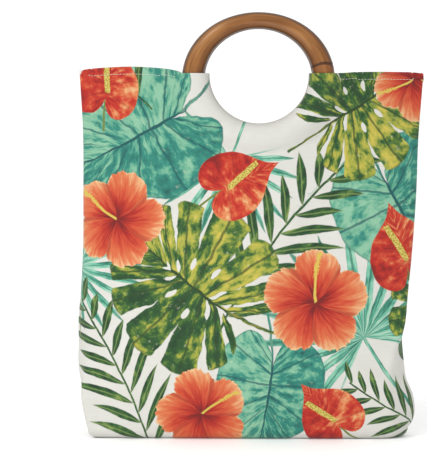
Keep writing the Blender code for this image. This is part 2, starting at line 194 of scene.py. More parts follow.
class Section:
    # the inner face of one side of the bag at one height; depths count forward from the middle
    def __init__(self, height, inset=0.0):
        found = sectionAt(round(height * 10000))
        self.depth = found["depth"] * bag["halfDepth"] - inset
        creaseDepth = max(found["creaseDepth"] * bag["halfDepth"] - inset, bag["gap"])
        wide = bag["halfWidth"] - inset
        self.seams = (Vector((-found["leftSeam"] * wide, seamDepth)),
                      Vector((found["rightSeam"] * wide, seamDepth)))
        self.creases = (Vector((-found["leftCrease"] * wide, creaseDepth)),
                        Vector((found["rightCrease"] * wide, creaseDepth)))
        self.round = found["softness"] * bag["creaseRadius"]

    def front(self, across):
        left, right = self.creases
        x = mix(left.x, right.x, (across + 1) / 2)
        return Vector((x, left.y + (self.depth - left.y) * (1 - across * across)))

    def side(self, end, along):
        crease, seam = self.creases[end], self.seams[end]
        bow = bag["bowOut"] if abs(seam.x) > abs(crease.x) else bag["bowIn"]
        return Vector((mix(crease.x, seam.x, 1 - (1 - along) ** bow), mix(crease.y, seam.y, along)))

    def point(self, across, along=0.0):
        # the face, or the side where along is over 0, with the crease between them rounded off
        end = 0 if across < 0 else 1
        halfFace = (self.creases[1].x - self.creases[0].x) / 2
        sideLength = (self.seams[end] - self.creases[end]).length
        faceReach = min(self.round, halfFace / 2)
        sideReach = max(min(self.round, sideLength / 2), 1e-6)
        fromCrease = (1 - abs(across)) * halfFace
        onSide = along * sideLength
        if along <= 0.0 and fromCrease >= faceReach:
            return self.front(across)
        if along > 0.0 and onSide >= sideReach:
            return self.side(end, along)
        sign = -1 if end == 0 else 1
        start = self.front(sign * (1 - faceReach / halfFace))
        finish = self.side(end, sideReach / sideLength)
        if along > 0.0:
            u = 0.5 + 0.5 * onSide / sideReach
        else:
            u = 0.5 - 0.5 * fromCrease / faceReach
        return start * (1 - u) ** 2 + self.creases[end] * 2 * u * (1 - u) + finish * u ** 2

    def acrossAt(self, x):
        left, right = self.creases
        return 2 * (x - left.x) / (right.x - left.x) - 1

    def clothReach(self, across, along=0.0):
        # how far from the middle line a point lies once the cloth is laid flat
        left, right = self.creases
        half, middle = (right.x - left.x) / 2, (right.x + left.x) / 2
        curve = max((self.depth - left.y) / half ** 2, 0.01)

        def run(t):
            return t / 2 * math.hypot(1, 2 * curve * t) + math.asinh(2 * curve * t) / (4 * curve)
        flat = run(across * half) - run(-middle)
        if along > 0.0:
            end = 0 if across < 0 else 1
            flat += math.copysign(along * (self.seams[end] - self.creases[end]).length, across)
        return flat


def tubeRadius(turn):
    # the cane's radius at an angle round the ring, 0 at its left and growing downwards
    return ring["tubeAtTop"] + (ring["tubeAtSide"] - ring["tubeAtTop"]) * math.cos(turn) ** 2


def ringPoint(turn):
    return Vector((ring["centreX"] - ring["halfWidth"] * math.cos(turn),
                   ringHeight - ring["halfHeight"] * math.sin(turn)))


def ringOutward(turn):
    return Vector((-ring["halfHeight"] * math.cos(turn), -ring["halfWidth"] * math.sin(turn))).normalized()


def holePoint(turn):
    return Vector((holeX - holeHalfWidth * math.cos(turn), holeHeight - holeHalfHeight * math.sin(turn)))


def ringDepth(height):
    return ring["offMiddle"] + (ringHeight - height) * math.tan(ring["lean"])


def hemLift(x, height):
    # how much the hem is drawn up between a ring and a side seam, less the height that its fold adds
    side = "left" if x < ring["centreX"] else "right"
    fromMiddle = abs(x - ring["centreX"])
    ringReach = ring["halfWidth"] + ring["tubeAtSide"]
    seamReach = bag["halfWidth"] + ring["centreX"] * (1 if side == "left" else -1)
    shares, lifts = zip(*hemLifts[side])
    lift = np.interp((fromMiddle - ringReach) / (seamReach - ringReach), shares, lifts) / 1000
    fade = ease((height - bag["hemHeight"] + hemLifts["depth"]) / hemLifts["depth"])
    folded = np.interp(fromMiddle, foldSpans()[side], (0, 1, 1, 0))
    low = ease((height - bag["hemHeight"] + hemLifts["foldDepth"]) / hemLifts["foldDepth"])
    return float(lift * fade - folded * low * (bag["hemRound"] + bag["cloth"]))


@functools.lru_cache(maxsize=None)
def foldSpans():
    # how far from the rings' middle each hem's fold starts and ends, with a cell on either side
    spans = {}
    for side, column in (("left", 0), ("right", archCells)):
        rows = hemRows()[column]
        last = casingRows + cells["body"] + cells["border"]
        shown = (rows[0] - 1, rows[0], rows[-1], min(rows[-1] + 1, last))
        span = [abs(facePlace(column, row, "front")[0].x - ring["centreX"]) for row in shown]
        span[3] = max(span[3], span[2] + 0.001)
        spans[side] = span
    return spans


# Small soft folds over the large dents: depth in metres and how far each kind reaches
folds = {"drape": 0.0011, "drapeWide": 22.0, "drapeHigh": 5.0, "drapeLean": 3.0, "pucker": 0.0005,
         "puckers": 17, "puckerStart": 0.006, "puckerReach": 0.030, "puckerSway": 3.0,
         "baseRipple": 0.0006, "baseRipples": 60.0, "baseReach": 0.05, "shift": {"front": 0.0, "back": 7.3}}
# and the shares of the width and height over which folds and dents die out at the cloth's edges
edgeFades = {"crease": 0.12, "base": 0.06, "hem": 0.2}


def foldDepth(x, height, side):
    # fine drape, puckers that run out from the ring, and ripples where the cloth turns in to the base
    shift = folds["shift"][side]
    across = x * folds["drapeWide"] + height * folds["drapeLean"]
    drape = noise.noise(Vector((across, height * folds["drapeHigh"], shift)))
    depth = folds["drape"] * drape
    fromRing = Vector((x - ring["centreX"], height - ringHeight))
    outside = fromRing.length - ring["halfWidth"] - ring["tubeAtSide"]
    if outside > 0.0:
        turn = math.atan2(fromRing.y, fromRing.x)
        near = math.exp(-(outside / folds["puckerReach"]) ** 2) * ease(outside / folds["puckerStart"])
        sway = folds["puckerSway"] * drape + shift
        depth += folds["pucker"] * near * math.sin(folds["puckers"] * turn + sway)
    low = math.exp(-(height / folds["baseReach"]) ** 2)
    depth += folds["baseRipple"] * low * noise.noise(Vector((x * folds["baseRipples"], 0.0, shift + 2.0)))
    return depth


def swell(x, height, side):
    total = 0.0
    for row in dents[side]:
        dent = dict(zip(dentColumns, row))
        dx = x - dent["x"] * bag["halfWidth"]
        dz = height - dent["height"] * bag["hemHeight"]
        lean = math.radians(dent["lean"])
        along = (dx * math.cos(lean) + dz * math.sin(lean)) / (dent["reachX"] * bag["halfWidth"])
        up = (dz * math.cos(lean) - dx * math.sin(lean)) / (dent["reachHeight"] * bag["hemHeight"])
        total += dent["swell"] * bag["halfDepth"] * math.exp(-along * along - up * up)
    return total


def facePoint(x, height, side):
    # a point of the inner face away from the ring, and its place on the flat cloth
    section = Section(height)
    across = section.acrossAt(x)
    flat = section.point(across)
    inside = ease((1 - abs(across)) / edgeFades["crease"])
    inside *= ease((height - filletTop) / (bag["hemHeight"] * edgeFades["base"]))
    belowHem = ease((bag["hemHeight"] - height) / (bag["hemHeight"] * edgeFades["hem"]))
    depth = flat.y + swell(x, height, side) * inside * belowHem + foldDepth(x, height, side) * inside
    return Vector((flat.x, -depth, height)), (section.clothReach(across), height)


def tailLift(step):
    # how much of the cane's lift is left, so many radii outwards from its middle
    return max(1 - (step / casing["tail"]) ** 2, 0.0) ** casing["tailCurve"]


def casingRowPlace(turn, row):
    # where a point of the casing lies seen from the front, and how far the cane lifts it
    middle = ringPoint(turn)
    reach = tubeRadius(turn) + casing["clearance"]
    if row <= cells["inner"]:
        angle = quarterTurn * (1 - row / cells["inner"])
        return middle.lerp(holePoint(turn), math.sin(angle)), reach, math.cos(angle), None
    step = casing["reach"] * (row - cells["inner"]) / cells["outer"]
    return middle + ringOutward(turn) * step * reach, reach, None, tailLift(step)


@functools.lru_cache(maxsize=None)
def hemTurns(row):
    # the two angles at which a row of the casing crosses the hem, found by halving
    found = []
    for mirrored in (False, True):
        low, high = -casing["widestTurn"], casing["widestTurn"]
        for halving in range(casing["halvings"]):
            turn = (low + high) / 2
            place = casingRowPlace(math.pi - turn if mirrored else turn, row)[0]
            if place.y > bag["hemHeight"]:
                low = turn
            else:
                high = turn
        found.append(math.pi - turn if mirrored else turn)
    return found


def casingTurn(column, row):
    start, stop = hemTurns(row)
    return mix(start, stop, column / archCells)


def casingPlace(column, row):
    place, reach, lift, tail = casingRowPlace(casingTurn(column, row), row)
    if column in (0, archCells):
        place.y = bag["hemHeight"]
    return place, reach, lift, tail


@functools.lru_cache(maxsize=None)
def casingColumn(column, side, toward):
    # one column of the cloth over the cane, toward 1 for the panel and -1 for the facing behind it;
    # its flat places are reckoned inwards, so that the print runs over the cane unstretched
    points = []
    for row in range(casingRows + 1):
        place, reach, lift, tail = casingPlace(column, row)
        plane = ringDepth(place.y)
        if tail is None:
            depth = plane + toward * (reach * lift + bag["gap"] / 2)
        else:
            depth = -facePoint(place.x, place.y, side)[0].y
            if toward < 0:
                depth -= bag["gap"]
            depth = mix(depth, plane + toward * (reach + bag["gap"] / 2), tail)
        points.append(Vector((place.x, -depth, place.y)))
    outermost = casingPlace(column, casingRows)[0]
    flat = Vector(facePoint(outermost.x, outermost.y, side)[1])
    flats = [flat.copy()]
    for row in range(casingRows, 0, -1):
        step = points[row - 1] - points[row]
        heading = Vector((step.x, step.z))
        if heading.length > 1e-6:
            flat = flat + heading.normalized() * step.length
        flats.append(flat.copy())
    flats.reverse()
    return points, flats


def placeGrid(mesh, columns, rows, place):
    # a flat grid whose corners go where place(column, row) says, each with its place on the flat cloth
    onCloth = mesh.verts.layers.float_vector["clothPlace"]
    made = bmesh.ops.create_grid(mesh, x_segments=columns, y_segments=rows, size=0.5)
    for vert in made["verts"]:
        where, flat = place(round((vert.co.x + 0.5) * columns), round((vert.co.y + 0.5) * rows))
        vert.co = where
        vert[onCloth] = (flat[0], flat[1], 0.0)


def startCloth():
    mesh = bmesh.new()
    mesh.verts.layers.float_vector.new("clothPlace")
    return mesh


def borderPoint(column, inset, side):
    # down the left crease, along the base and up the right crease
    across = 1 - inset / bag["halfWidth"]
    low = filletTop + inset
    leg = cells["leg"]
    if column <= leg:
        across, height = -across, mix(bag["hemHeight"], low, column / leg)
    elif column >= archCells - leg:
        height = mix(bag["hemHeight"], low, (archCells - column) / leg)
    else:
        across, height = mix(-across, across, (column - leg) / cells["base"]), low
    return facePoint(Section(height).front(across).x, height, side)


def facePlace(column, row, side):
    # the face round the ring: casing, body and border, in rows from the hand hole out to the creases
    if row <= casingRows:
        points, flats = casingColumn(column, side, 1)
        return points[row], flats[row]
    bodyEnd = casingRows + cells["body"]
    if row >= bodyEnd:
        inset = cells["borderInset"] * (1 - (row - bodyEnd) / cells["border"])
        return borderPoint(column, inset, side)
    start = casingPlace(column, casingRows)[0]
    stop = borderPoint(column, cells["borderInset"], side)[0]
    share = (row - casingRows) / cells["body"]
    return facePoint(mix(start.x, stop.x, share), mix(start.y, stop.z, share), side)


def bottomAcross(column):
    # where a column of the bottom meets a section: left side, face and right side
    if column < cells["side"]:
        return -1, 1 - column / cells["side"]
    if column > cells["side"] + cells["base"]:
        return 1, (column - cells["side"] - cells["base"]) / cells["side"]
    return mix(-1, 1, (column - cells["side"]) / cells["base"]), 0.0


def seamTurn(turned):
    # how far the cloth has gone inward and towards the middle, so many columns past the side seam
    angle = quarterTurn * min(turned / cells["seam"], 1.0)
    inward = bag["seamRound"] * (1 - math.cos(angle))
    if turned > cells["seam"]:
        inward += bag["seamAllowance"] * (turned - cells["seam"]) / cells["allowance"]
    return inward, bag["seamRound"] * math.sin(angle)


def sidePlace(column, row, end):
    # from a crease round to the side seam, and on into the seam allowance inside the bag
    height = mix(filletTop, bag["hemHeight"], row / cells["leg"])
    section = Section(height)
    sign = -1 if end == 0 else 1
    along = min(column / cells["side"], 1.0)
    flat = section.point(sign, along)
    reach = section.clothReach(sign, along)
    if column <= cells["side"]:
        return Vector((flat.x, -flat.y, height)), (reach, height)
    inward, forward = seamTurn(column - cells["side"])
    x = flat.x - sign * inward
    return Vector((x, -(seamDepth - forward), height)), (reach + sign * (inward + forward), height)


def turnInPlace(column, row):
    # the rounded strip where the face and half sides turn under the bag, with the seams at its ends
    angle = quarterTurn * (1 - row / cells["fillet"])
    section = Section(filletTop, innerFillet * (1 - math.cos(angle)))
    height = bag["cloth"] + innerFillet * (1 - math.sin(angle))
    column -= seamCells
    turned = max(-column, column - bottomCells, 0)
    column = min(max(column, 0), bottomCells)
    across, along = bottomAcross(column)
    flat = section.point(across, along)
    inward, forward = seamTurn(turned)
    sign = -1 if across < 0 else 1
    where = Vector((flat.x - sign * inward * math.cos(angle), forward - flat.y,
                    height + inward * math.sin(angle)))
    reach = section.clothReach(across, along) + sign * (inward + forward)
    return where, (reach, filletTop - innerFillet * angle)


@functools.lru_cache(maxsize=None)
def hemRows():
    # the rows of the face whose hem has room to be turned over: outside the facing, inside the corners
    kept = {}
    for column in (0, archCells):
        sign = -1 if column == 0 else 1
        edge = abs(casingPlace(column, casingRows)[0].x - ring["centreX"])
        edge += casing["band"] + bag["hemClear"]
        rows = []
        for row in range(casingRows + 1, casingRows + cells["body"] + cells["border"] + 1):
            point = facePlace(column, row, "front")[0]
            room = -point.y > 2 * bag["hemRound"] + bag["cloth"] + bag["hemRoom"]
            if sign * (point.x - ring["centreX"]) > edge and room:
                rows.append(row)
        kept[column] = rows
    return kept


def hemPlace(column, row, step, side):
    # the hem turned over the top edge and down inside the bag
    top, flat = facePlace(column, row, side)
    bend = cells["hemBend"]
    angle = 2 * quarterTurn * min(step / bend, 1.0)
    inward = bag["hemRound"] * (1 - math.cos(angle))
    up = bag["hemRound"] * math.sin(angle)
    down = bag["hemTurn"] * max(step - bend, 0) / (cells["hem"] - bend)
    below = facePoint(top.x, bag["hemHeight"] - down, side)[0]
    where = Vector((top.x, below.y + inward, bag["hemHeight"] + up - down))
    return where, (flat[0], flat[1] + step * bag["hemRound"] + down)


def panelMesh(side):
    mesh = startCloth()
    rows = casingRows + cells["body"] + cells["border"]
    placeGrid(mesh, archCells, rows, lambda column, row: facePlace(column, row, side))
    for end in (0, 1):
        placeGrid(mesh, cells["side"] + seamCells, cells["leg"],
                  lambda column, row: sidePlace(column, row, end))
    placeGrid(mesh, bottomCells + 2 * seamCells, cells["fillet"], turnInPlace)
    for column, rows in hemRows().items():
        placeGrid(mesh, len(rows) - 1, cells["hem"],
                  lambda across, step: hemPlace(column, rows[across], step, side))
    bmesh.ops.remove_doubles(mesh, verts=mesh.verts, dist=bag["merge"])
    return mesh


def facingMesh(side):
    mesh = startCloth()

    def place(column, row):
        points, flats = casingColumn(column, side, -1)
        if row <= casingRows:
            return points[row], flats[row]
        start = casingPlace(column, casingRows)[0]
        out = ringOutward(casingTurn(column, casingRows)) * casing["band"]
        out = out * (row - casingRows) / cells["band"]
        height = bag["hemHeight"] if column in (0, archCells) else start.y + out.y
        point, flat = facePoint(start.x + out.x, height, side)
        point.y += bag["gap"]
        return point, flat
    placeGrid(mesh, archCells, casingRows + cells["band"], place)
    bmesh.ops.remove_doubles(mesh, verts=mesh.verts, dist=bag["merge"])
    return mesh


def baseMesh():
    # the flat bottom, inside the turned-in lower edges of both faces
    mesh = startCloth()
    section = Section(filletTop, innerFillet)
    rows = cells["bottomRows"]
    clear = 2 * bag["gap"]

    def place(column, row):
        edge = section.point(*bottomAcross(column))
        middle = mix(section.seams[0].x, section.seams[1].x, column / bottomCells)
        outwards = mix(-1, 1, row / rows)
        x = mix(middle, edge.x, abs(outwards)) * (1 - clear / bag["halfWidth"])
        y = outwards * (edge.y - clear)
        under = filletTop - innerFillet * quarterTurn - (y + section.depth)
        return Vector((x, y, bag["baseThickness"])), (x, under)
    placeGrid(mesh, bottomCells, rows, place)
    return mesh


# The print: leaves and flowers laid out on the flat cloth, in millimetres and degrees. The layout comes
# again every repeat millimetres both ways. bend draws the midrib aside, as a share of the length.
printRepeat = 520.0
motifColumns = ("across", "up", "turned", "length", "bend")
motifs = {
    "fanPalm": {"centre": 0.13, "reach": 0.68, "rows": (
        (128, 118, 28, 235, 0.10), (-26, 322, 156, 170, -0.08), (-212, 196, -68, 160, 0.05))},
    "taro": {"centre": 0.12, "reach": 0.66, "rows": (
        (-118, 352, 118, 215, 0.14), (168, 268, -152, 205, -0.16), (20, 62, 172, 170, 0.10))},
    "sprig": {"centre": 0.0, "reach": 0.62, "rows": (
        (30, 236, -38, 250, 0.22), (-150, 74, 26, 215, -0.20), (178, 24, 62, 170, 0.15),
        (-190, 448, 40, 190, 0.16))},
    "monstera": {"centre": 0.10, "reach": 0.64, "rows": (
        (-64, 172, 52, 225, 0.10), (120, 380, -62, 190, -0.10), (226, 146, 20, 165, 0.10))},
    "hibiscus": {"centre": 0.0, "reach": 0.60, "rows": (
        (72, 158, 24, 128, 0.0), (-156, 252, 80, 118, 0.0), (-58, 30, -30, 112, 0.0),
        (186, 412, 140, 104, 0.0))},
    "anthurium": {"centre": 0.10, "reach": 0.64, "rows": (
        (176, 210, 18, 104, 0.0), (-24, 292, -64, 96, 0.0), (-168, 396, -14, 92, 0.0),
        (92, 24, 42, 88, 0.0))},
}


def layPrint(data, side):
    # for each kind of motif, every point's place in the nearest: across it, along it, and how deep inside
    flat = np.empty(len(data.vertices) * 3)
    data.attributes["clothPlace"].data.foreach_get("vector", flat)
    flat = flat.reshape(-1, 3)[:, :2] * 1000.0
    if side == "back":
        flat = flat * (-1.0, 1.0)
    half = printRepeat / 2
    for motif, spread in motifs.items():
        local = np.full((len(flat), 3), -1.0)
        for row in spread["rows"]:
            one = dict(zip(motifColumns, row))
            away = (flat - (one["across"], one["up"]) + half) % printRepeat - half
            turned = math.radians(one["turned"])
            x = (away[:, 0] * math.cos(turned) + away[:, 1] * math.sin(turned)) / one["length"]
            y = (away[:, 1] * math.cos(turned) - away[:, 0] * math.sin(turned)) / one["length"]
            x = x - one["bend"] * y * y
            inside = 1 - np.hypot(x, y - spread["centre"]) / spread["reach"]
            better = inside > local[:, 2]
            local[better] = np.stack((x, y, inside), axis=1)[better]
        layer = data.attributes.new(motif + "Place", "FLOAT_VECTOR", "POINT")
        layer.data.foreach_set("vector", local.ravel())


# Node trees, written as formulas
class Wire:
    # one output in a node tree, which can be reckoned with like a number
    def __init__(self, tree, socket):
        self.tree = tree
        self.socket = socket

    def math(self, operation, *others):
        return makeNode(self.tree, "Math", 0, dict(enumerate((self, *others))), operation=operation)

    def __add__(self, other):
        return self.math("ADD", other)

    def __sub__(self, other):
        return self.math("SUBTRACT", other)

    def __mul__(self, other):
        return self.math("MULTIPLY", other)

    def __truediv__(self, other):
        return self.math("DIVIDE", other)

    def __neg__(self):
        return self.math("MULTIPLY", -1.0)

    def rise(self, low, high):
        # 0 below low and 1 above high, with a soft step between
        ends = {"Value": self, "From Min": low, "From Max": high}
        return makeNode(self.tree, "MapRange", "Result", ends, interpolation_type="SMOOTHSTEP")

    def fall(self, low, high):
        return -self.rise(low, high) + 1.0

    def curve(self, table):
        # a smooth curve through a short table of (value in, value out)
        node = self.tree.nodes.new("ShaderNodeFloatCurve")
        points = node.mapping.curves[0].points
        points[0].location = table[0]
        points[1].location = table[-1]
        for row in table[1:-1]:
            points.new(*row)
        node.mapping.update()
        feed(self.tree, self, node.inputs["Value"])
        return Wire(self.tree, node.outputs["Value"])

    def tones(self, stops):
        # colours along a ramp: (place, red, green, blue), each colour out of 255
        node = self.tree.nodes.new("ShaderNodeValToRGB")
        ramp = node.color_ramp
        while len(ramp.elements) < len(stops):
            ramp.elements.new(1.0)
        for element, (place, *shade) in zip(ramp.elements, stops):
            element.position = place
            element.color = paint(*shade)
        feed(self.tree, self, node.inputs["Fac"])
        return Wire(self.tree, node.outputs["Color"])


# The sums that need no code of their own, under the names that formulas use for them
plainSums = {"size": "ABSOLUTE", "root": "SQRT", "sine": "SINE", "part": "FRACT", "whole": "FLOOR",
             "most": "MAXIMUM", "least": "MINIMUM", "power": "POWER"}
for name, operation in plainSums.items():
    setattr(Wire, name, functools.partialmethod(Wire.math, operation))


def feed(tree, value, slot):
    if isinstance(value, Wire):
        tree.links.new(value.socket, slot)
    else:
        slot.default_value = value


def makeNode(tree, kind, out, values, **settings):
    # a shader node, set up and with its inputs filled in; one of its outputs comes back
    node = tree.nodes.new("ShaderNode" + kind)
    for name, value in settings.items():
        setattr(node, name, value)
    for slot, value in values.items():
        feed(tree, value, node.inputs[slot])
    return Wire(tree, node.outputs[out])


def paint(red, green, blue):
    # a colour out of 255 as the eye sees it, turned into the shader's own scale
    return (*(((c / 255 + 0.055) / 1.055) ** 2.4 if c > 10 else c / 3294 for c in (red, green, blue)), 1.0)


def split(vector):
    node = vector.tree.nodes.new("ShaderNodeSeparateXYZ")
    feed(vector.tree, vector, node.inputs[0])
    return [Wire(vector.tree, out) for out in node.outputs]


def join(tree, x, y, z=0.0):
    return makeNode(tree, "CombineXYZ", 0, {0: x, 1: y, 2: z})


def cloud(vector, scale, detail, roughness, out="Fac"):
    values = {"Vector": vector, "Scale": scale, "Detail": detail, "Roughness": roughness}
    return makeNode(vector.tree, "TexNoise", out, values)


def over(mask, below, above, blend="MIX"):
    # one colour laid over another where the mask is 1
    tree = next(part.tree for part in (mask, below, above) if isinstance(part, Wire))
    return makeNode(tree, "Mix", 2, {0: mask, 6: below, 7: above}, data_type="RGBA", blend_type=blend)


socketKinds = {"value": "NodeSocketFloat", "vector": "NodeSocketVector", "colour": "NodeSocketColor"}


def startGroup(name, takes, gives):
    tree = bpy.data.node_groups.new(name, "ShaderNodeTree")
    for way, sockets in (("INPUT", takes), ("OUTPUT", gives)):
        for title, kind in sockets.items():
            tree.interface.new_socket(name=title, in_out=way, socket_type=socketKinds[kind])
    entry = tree.nodes.new("NodeGroupInput")
    return tree, {title: Wire(tree, entry.outputs[title]) for title in takes}


def endGroup(tree, **results):
    done = tree.nodes.new("NodeGroupOutput")
    for title, wire in results.items():
        feed(tree, wire, done.inputs[title])
    return tree


def useGroup(tree, group, **values):
    node = tree.nodes.new("ShaderNodeGroup")
    node.node_tree = group
    for title, value in values.items():
        feed(tree, value, node.inputs[title])
    return {out.name: Wire(tree, out) for out in node.outputs}


# The print's colours, out of 255: first along the brush marks, from dark to light, then flat ones
printTones = {
    "ground": ((0.3, 226, 225, 216), (0.7, 233, 232, 225)),
    "fanPalm": ((0.26, 38, 112, 88), (0.42, 74, 160, 134), (0.54, 130, 205, 175), (0.70, 186, 226, 200)),
    "taro": ((0.30, 22, 92, 88), (0.40, 36, 126, 112), (0.50, 48, 144, 126), (0.56, 100, 176, 146),
             (0.68, 146, 202, 168)),
    "sprig": ((0.30, 20, 52, 28), (0.46, 34, 80, 38), (0.58, 62, 108, 46), (0.72, 140, 162, 80)),
    "monstera": ((0.36, 24, 66, 30), (0.48, 38, 88, 36), (0.55, 84, 122, 44), (0.62, 162, 170, 62),
                 (0.76, 212, 196, 80)),
    "hibiscus": ((0.04, 120, 14, 12), (0.20, 184, 32, 18), (0.36, 214, 76, 42), (0.56, 228, 120, 72),
                 (0.76, 242, 186, 132)),
    "anthurium": ((0.28, 138, 18, 12), (0.42, 190, 30, 16), (0.54, 212, 64, 34), (0.66, 232, 138, 84),
                  (0.80, 246, 204, 148)),
    "spike": ((0.40, 176, 150, 40), (0.55, 226, 208, 108)),
}
printPaints = {
    "taroVein": (18, 92, 92), "monsteraVein": (40, 70, 26), "dryBrush": (226, 226, 190),
    "bladeFold": (32, 104, 84), "bladeEdge": (44, 120, 92), "sprigRib": (140, 166, 92),
    "petalFold": (150, 34, 18), "petalLip": (246, 214, 160), "pistil": (224, 196, 84),
    "bractVein": (132, 22, 14), "bractStalk": (112, 138, 60),
}

# How far each heart-shaped leaf reaches from its middle, at turns from its tip at 0 to its foot at 1
outlines = {
    "taro": ((0.0, 0.62), (0.05, 0.50), (0.13, 0.425), (0.28, 0.375), (0.45, 0.365), (0.62, 0.385),
             (0.77, 0.41), (0.88, 0.385), (0.95, 0.28), (1.0, 0.10)),
    "monstera": ((0.0, 0.60), (0.06, 0.52), (0.18, 0.46), (0.35, 0.43), (0.5, 0.43), (0.65, 0.44),
                 (0.80, 0.42), (0.91, 0.34), (0.97, 0.22), (1.0, 0.12)),
    "anthurium": ((0.0, 0.63), (0.02, 0.56), (0.06, 0.48), (0.14, 0.425), (0.30, 0.405), (0.50, 0.41),
                  (0.70, 0.43), (0.86, 0.37), (0.95, 0.24), (1.0, 0.12)),
}


def startMotif(name, wobble):
    # a motif's own axes, wandering a little as a painter's brush does, and two kinds of brush mark
    tree, given = startGroup(name, {"Place": "vector", "Brush": "vector"},
                             {"Colour": "colour", "Mask": "value"})
    x, y, inside = split(given["Place"])
    wanderX, wanderY, tint = split(given["Brush"])
    x = x + (wanderX - 0.5) * wobble
    y = y + (wanderY - 0.5) * wobble
    return tree, x, y, inside, tint


def endMotif(tree, colour, mask, inside):
    return endGroup(tree, Colour=colour, Mask=mask * inside.rise(0.0, 0.03))


def polar(x, y):
    # distance from the middle and turn from the tip, 0 at the tip and 1 straight behind
    return (x * x + y * y).root(), x.size().math("ARCTAN2", y) / math.pi


def colourOver(mask, below, name):
    return over(mask, below, paint(*printPaints[name]))


def brushMarks(tree, across, along, tint, scale):
    return cloud(join(tree, across, along, tint), scale, 3.0, 0.6)


def stalkMask(x, y, bend, edges, end=-0.50, top=0.01):
    # a bent stalk from end up to the leaf's middle, between the two edges where it fades
    return (x - y * y * bend).size().fall(*edges) * y.fall(0.0, top) * y.rise(end, end + 0.01)


# Side veins fan out from the midrib. Slits run in between them, each with a hole at its root.
heartLeaf = {
    "fan": {"taro": 1.7, "monstera": 1.9}, "slit": {"taro": 0.0, "monstera": 0.030},
    "wobble": 0.030, "edge": 0.007, "ripples": 31.0, "ripple": 0.006, "foot": 0.12, "halfShade": 0.10,
    "slitRun": (0.42, 1.05), "slitRoot": (0.46, 0.50), "lobeRound": 0.10,
    "holeAt": 0.30, "holeLong": 0.075, "holeWide": 0.013,
    "stalkBend": 0.25, "stalkEdges": (0.006, 0.011), "vein": 0.004, "midrib": 0.006,
}


def heartLeafGroup(kind):
    tree, x, y, inside, tint = startMotif(kind + " leaf", heartLeaf["wobble"])
    side = x.size()
    rho, turn = polar(x, y)
    limit = turn.curve(outlines[kind]) + (turn * heartLeaf["ripples"]).sine() * heartLeaf["ripple"]
    fan, slit = heartLeaf["fan"][kind], heartLeaf["slit"][kind]
    spread = side + heartLeaf["foot"]
    lane = (y / spread + 8.0) * fan
    phase = lane.part() - 0.5
    span = spread / fan
    marks = brushMarks(tree, lane * 1.1, rho * 4.0, tint * 3.0, 2.6)
    leaf = (limit - rho).rise(0.0, heartLeaf["edge"])
    if slit > 0.0:
        share = rho / limit
        toSlit = (-phase.size() + 0.5) * span
        lobed = limit * (-((phase.size() * 2.0).power(4.0)) * heartLeaf["lobeRound"] + 1.0)
        leaf = (lobed - rho).rise(0.0, heartLeaf["edge"])
        blade = (toSlit - share.rise(*heartLeaf["slitRun"]) * slit).rise(-0.003, 0.003)
        blade = blade.most(share.fall(*heartLeaf["slitRoot"])).most(turn.fall(0.05, 0.07))
        hole = (toSlit / heartLeaf["holeWide"]).power(2.0)
        hole = hole + ((share - heartLeaf["holeAt"]) / heartLeaf["holeLong"]).power(2.0)
        leaf = leaf * blade * hole.rise(0.8, 1.2)
    colour = (marks + x.rise(-0.01, 0.01) * heartLeaf["halfShade"]).tones(printTones[kind])
    dry = cloud(join(tree, lane * 2.4, rho * 9.0, tint), 3.0, 4.0, 0.7)
    colour = colourOver(dry.rise(0.60, 0.72) * 0.45, colour, "dryBrush")
    veins = (phase.size() * span - heartLeaf["vein"]).fall(0.0, 0.005) * turn.rise(0.03, 0.08) * 0.75
    midrib = (side - y.fall(-0.1, 0.6) * heartLeaf["midrib"]).fall(0.0, 0.004)
    rim = (limit - rho).fall(0.004, 0.020) * marks.rise(0.35, 0.6) * 0.6
    for line in (veins.most(midrib), rim):
        colour = colourOver(line, colour, kind + "Vein")
    stalk = stalkMask(x, y, heartLeaf["stalkBend"], heartLeaf["stalkEdges"])
    return endMotif(tree, colour, leaf.most(stalk), inside)


# Pleated blades that spread from a stalk, joined near it and free at their tips
fanPalm = {"wobble": 0.016, "blades": 22.0, "length": 0.62, "joined": 0.17, "behind": (0.70, 0.72),
           "stalkBend": 0.2, "stalkEdges": (0.007, 0.011), "stalkEnd": -0.46, "stalkTop": 0.02}


def fanPalmGroup():
    tree, x, y, inside, tint = startMotif("fan palm", fanPalm["wobble"])
    rho, turn = polar(x, y)
    lane = x.math("ARCTAN2", y) / math.pi * (fanPalm["blades"] / 2) + 20.5
    phase = lane.part() - 0.5
    chance = (lane.whole() * 0.618).part()
    length = (-(turn * turn) * 0.42 + 1.0) * (chance * 0.14 + 0.86) * fanPalm["length"]
    free = ((rho - fanPalm["joined"]) / (length - fanPalm["joined"])).most(0.0)
    width = (-(free.power(1.7)) + 1.0) * (rho.rise(0.15, 0.24) * -0.16 + 0.5)
    blade = (width - phase.size()).rise(0.0, 0.05) * (length - rho).rise(0.0, 0.01)
    blade = blade * turn.fall(*fanPalm["behind"])
    marks = brushMarks(tree, lane * 1.3, rho * 5.0, tint * 2.0, 1.6)
    colour = (marks + phase * 0.22).tones(printTones["fanPalm"])
    colour = colourOver(phase.size().fall(0.03, 0.07) * 0.65, colour, "bladeFold")
    edge = (width - phase.size()).fall(0.02, 0.07) * marks.rise(0.4, 0.6) * 0.5
    colour = colourOver(edge, colour, "bladeEdge")
    stalk = stalkMask(x, y, fanPalm["stalkBend"], fanPalm["stalkEdges"], fanPalm["stalkEnd"],
                      fanPalm["stalkTop"])
    return endMotif(tree, colour, blade.most(stalk), inside)


# Slender leaves, by turns left and right of a thin stem, unevenly long; each has a number, growing upwards
sprig = {"wobble": 0.012, "leaves": 9.0, "slope": 1.15, "droop": 0.9, "length": 0.30, "width": 0.36,
         "first": 14, "last": 21, "stem": (0.004, 0.007), "stemEnd": (-0.56, -0.55), "stemTop": (0.46, 0.47)}


